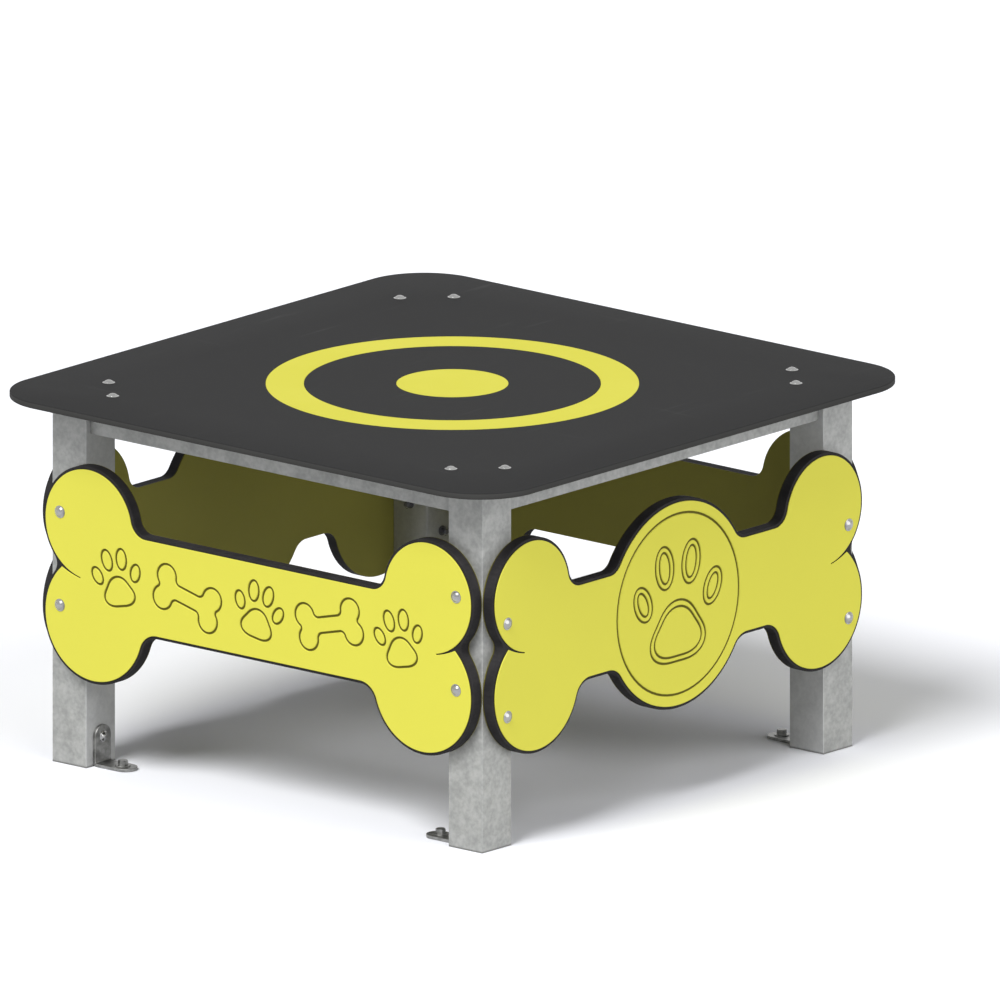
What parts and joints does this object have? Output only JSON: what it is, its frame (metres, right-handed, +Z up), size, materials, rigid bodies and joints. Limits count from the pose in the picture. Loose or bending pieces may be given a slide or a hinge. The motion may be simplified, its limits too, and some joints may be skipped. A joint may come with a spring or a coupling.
{
  "type": "dog agility table",
  "caption": "Square outdoor agility table for dogs: a dark platform with a yellow inlaid target on galvanised posts, with bone-shaped panels across the sides and foot brackets.",
  "frame": {"origin": "on the ground, under the centre of the platform", "axes": "+Z up; the plain bone panels face -Y and +Y, and the panels with a round medallion face +X and -X"},
  "size_m": [1.047, 1.047, 0.605],
  "materials": {
    "plate": "dark grey solid plastic sheet with a fine grained face",
    "sheet": "yellow solid plastic sheet with a fine satin texture",
    "core": "black solid plastic sheet, its edges milled smooth",
    "galvanised": "hot-dip galvanised, matt, with a faint mottled bloom",
    "bolt": "bright zinc-plated steel"
  },
  "bodies": {
    "root": {"top_plate": "plate", "target_ring": "sheet", "target_disc": "sheet", "post_front_left": "galvanised", "post_front_right": "galvanised", "post_back_right": "galvanised", "post_back_left": "galvanised", "rail_front": "galvanised", "rail_right": "galvanised", "rail_back": "galvanised", "rail_left": "galvanised", "front_panel_inner_skin": "sheet", "front_panel_core": "core", "front_panel_outer_skin": "sheet", "right_panel_inner_skin": "sheet", "right_panel_core": "core", "right_panel_outer_skin": "sheet", "back_panel_inner_skin": "sheet", "back_panel_core": "core", "back_panel_outer_skin": "sheet", "left_panel_inner_skin": "sheet", "left_panel_core": "core", "left_panel_outer_skin": "sheet", "front_panel_bolt_lower_left": "bolt", "front_panel_bolt_upper_left": "bolt", "front_panel_bolt_lower_right": "bolt", "front_panel_bolt_upper_right": "bolt", "right_panel_bolt_lower_left": "bolt", "right_panel_bolt_upper_left": "bolt", "right_panel_bolt_lower_right": "bolt", "right_panel_bolt_upper_right": "bolt", "back_panel_bolt_lower_left": "bolt", "back_panel_bolt_upper_left": "bolt", "back_panel_bolt_lower_right": "bolt", "back_panel_bolt_upper_right": "bolt", "left_panel_bolt_lower_left": "bolt", "left_panel_bolt_upper_left": "bolt", "left_panel_bolt_lower_right": "bolt", "left_panel_bolt_upper_right": "bolt", "plate_bolt_front_left": "bolt", "plate_bolt_front_right": "bolt", "plate_bolt_right_left": "bolt", "plate_bolt_right_right": "bolt", "plate_bolt_back_left": "bolt", "plate_bolt_back_right": "bolt", "plate_bolt_left_left": "bolt", "plate_bolt_left_right": "bolt", "foot_bracket_front_left": "galvanised", "foot_bracket_front_right": "galvanised", "foot_bracket_back_right": "galvanised", "foot_bracket_back_left": "galvanised", "bracket_bolt_front_left": "bolt", "bracket_bolt_front_right": "bolt", "bracket_bolt_back_right": "bolt", "bracket_bolt_back_left": "bolt", "anchor_bolt_front_left": "bolt", "anchor_bolt_front_right": "bolt", "anchor_bolt_back_right": "bolt", "anchor_bolt_back_left": "bolt"}
  },
  "joints": []
}
